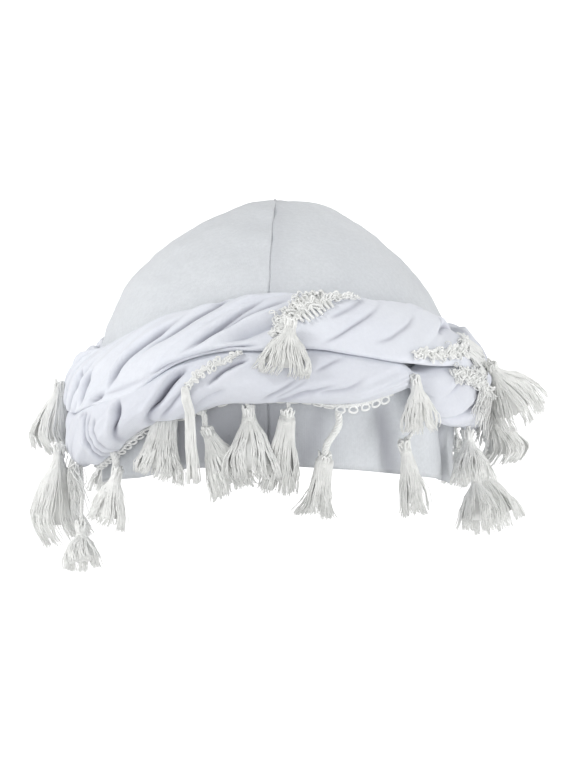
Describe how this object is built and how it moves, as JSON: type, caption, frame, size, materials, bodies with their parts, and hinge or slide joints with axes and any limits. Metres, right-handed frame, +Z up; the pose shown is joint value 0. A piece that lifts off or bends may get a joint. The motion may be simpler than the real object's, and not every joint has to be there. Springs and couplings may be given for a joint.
{
  "type": "turban head wrap",
  "caption": "Jersey cap with a centre seam, a twisted roll of the same cloth round it, and braid and thread tassels along the roll.",
  "frame": {"origin": "inside of the cap's top, where the wrap sits on a head", "axes": "+Z up, -Y out of the front, +X to the right of someone who looks at the front"},
  "size_m": [0.2333, 0.2517, 0.1651],
  "materials": {
    "cap_jersey": "fine white knitted jersey, matt",
    "wrap_jersey": "soft white knitted jersey, twisted and gathered, matt",
    "trim_braid": "white cotton braid with small loops",
    "tassel_thread": "white cotton thread, slightly glossy"
  },
  "bodies": {
    "root": {"crown_panel_left": "cap_jersey", "crown_panel_right": "cap_jersey", "strand_upper": "wrap_jersey", "strand_lower": "wrap_jersey", "braid_front": "trim_braid", "braid_left": "trim_braid", "braid_right": "trim_braid", "braid_side": "trim_braid", "braid_under": "trim_braid", "braid_back": "trim_braid", "tassel_front_knot": "tassel_thread", "tassel_front_long": "tassel_thread", "tassel_front_1": "tassel_thread", "tassel_front_2": "tassel_thread", "tassel_front_3": "tassel_thread", "tassel_front_4": "tassel_thread", "tassel_front_5": "tassel_thread", "tassel_front_6": "tassel_thread", "tassel_front_7": "tassel_thread", "tassel_left_1": "tassel_thread", "tassel_left_2": "tassel_thread", "tassel_left_3": "tassel_thread", "tassel_left_4": "tassel_thread", "tassel_right_1": "tassel_thread", "tassel_right_2": "tassel_thread", "tassel_right_3": "tassel_thread", "tassel_right_4": "tassel_thread", "tassel_right_5": "tassel_thread", "tassel_back_1": "tassel_thread", "tassel_back_2": "tassel_thread", "tassel_back_3": "tassel_thread", "tassel_back_4": "tassel_thread", "tassel_back_5": "tassel_thread", "tassel_back_6": "tassel_thread"}
  },
  "joints": []
}
